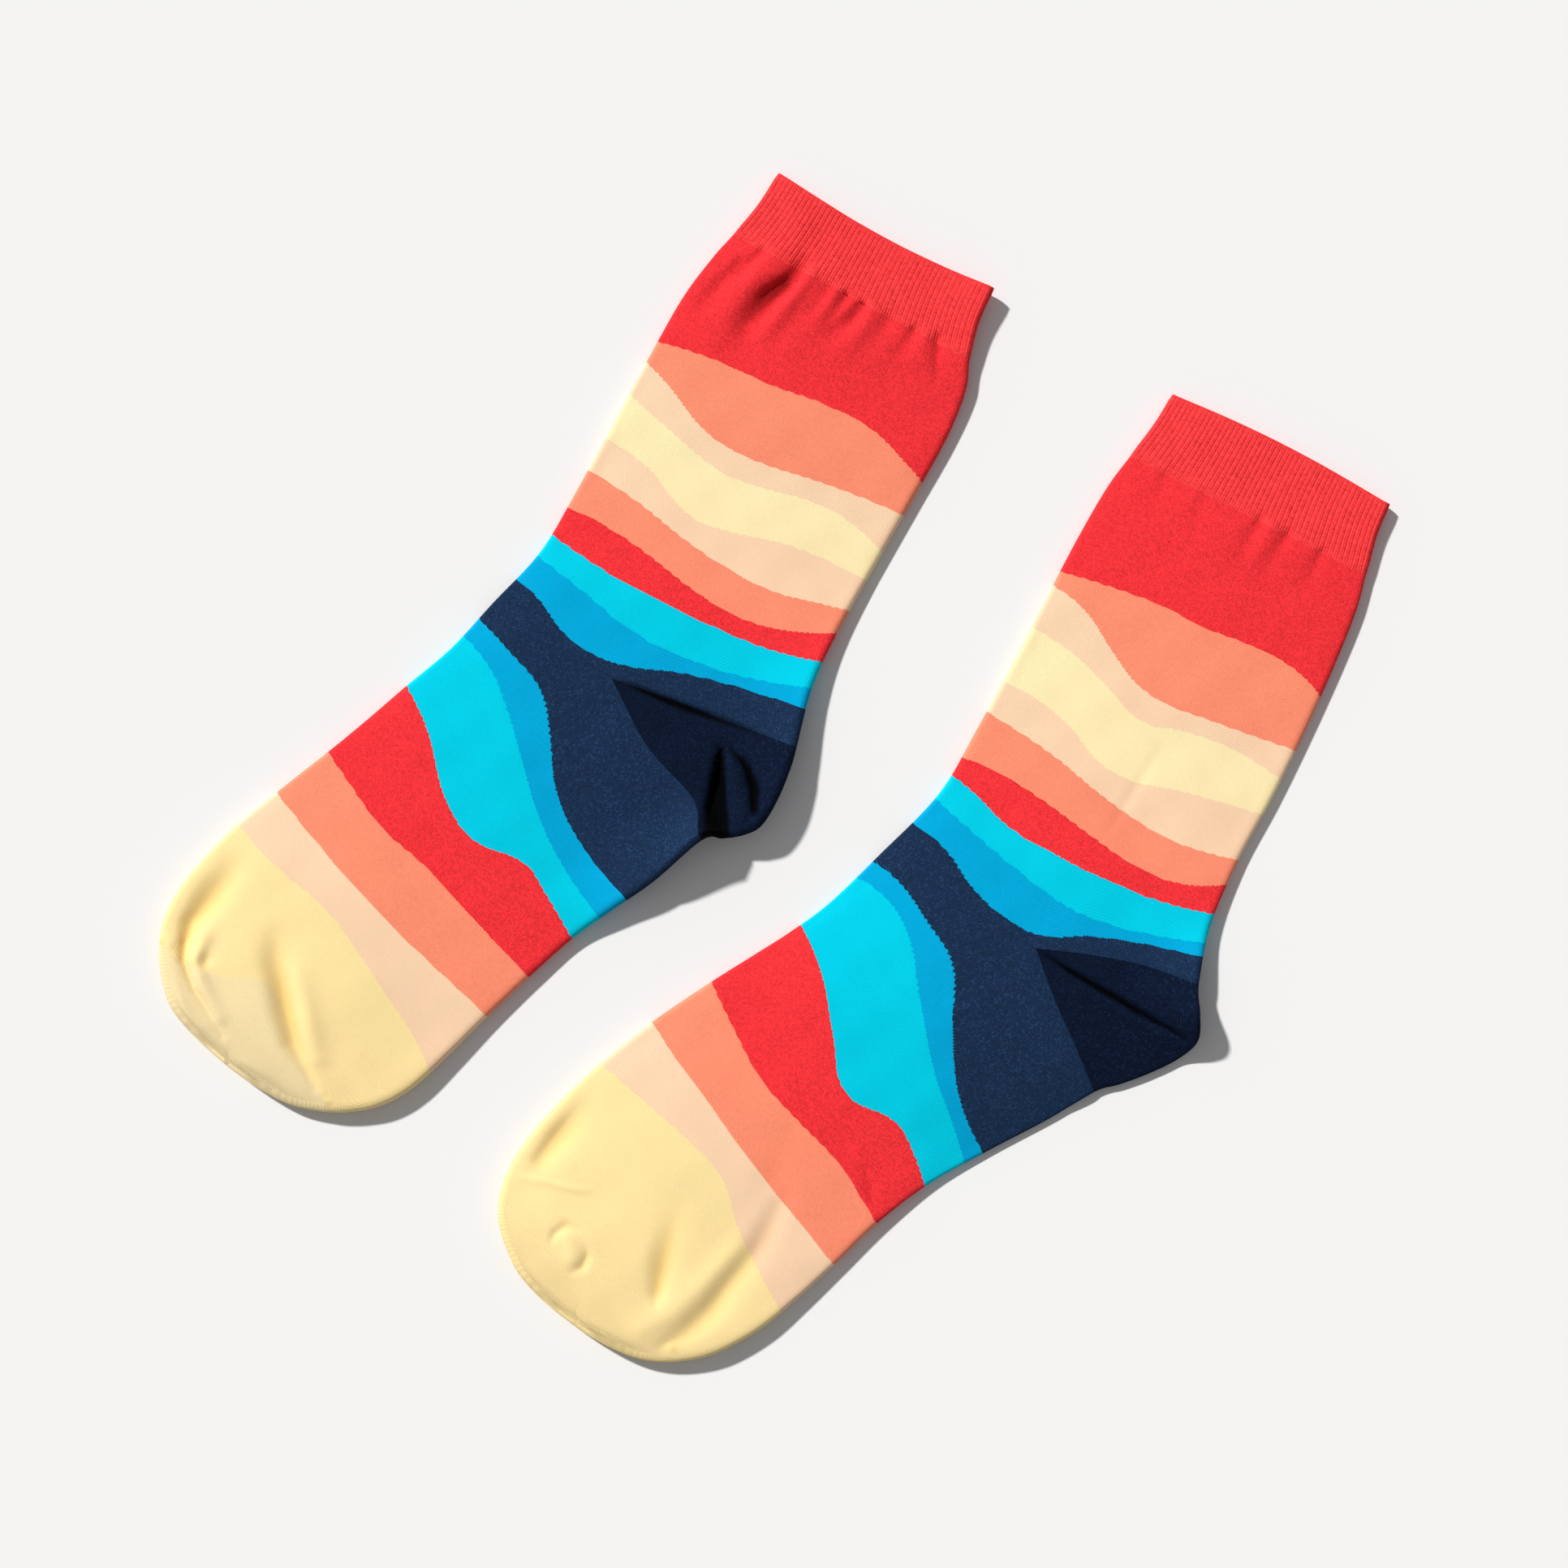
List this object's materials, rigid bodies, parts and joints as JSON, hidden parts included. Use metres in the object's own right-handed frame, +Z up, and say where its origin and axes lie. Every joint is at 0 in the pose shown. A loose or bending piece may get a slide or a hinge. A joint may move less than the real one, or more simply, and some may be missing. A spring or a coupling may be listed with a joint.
{
  "type": "pair of crew socks",
  "caption": "Pair of crew socks laid flat side by side, each with a ribbed cuff, a jersey leg and foot in wavy colour bands, a heel pocket and a closed toe.",
  "frame": {"origin": "middle of the pair's footprint, on the surface that the socks lie on", "axes": "+Y along the legs, from the toes to the cuffs; +X to the side that the heels point to; +Z up from the surface"},
  "size_m": [0.3226, 0.3712, 0.0137],
  "materials": {
    "cuff_rib": "matt red cotton in 1 x 1 rib, wales standing up as fine cords",
    "striped_jersey": "matt cotton jersey in wavy bands of red, coral, peach, yellow, cyan, blue and navy, with a cream toe",
    "heel_jersey": "matt dark navy cotton jersey"
  },
  "bodies": {
    "root": {"left_cuff": "cuff_rib", "left_leg_foot": "striped_jersey", "left_heel": "heel_jersey", "left_toe": "striped_jersey", "right_cuff": "cuff_rib", "right_leg_foot": "striped_jersey", "right_heel": "heel_jersey", "right_toe": "striped_jersey"}
  },
  "joints": []
}
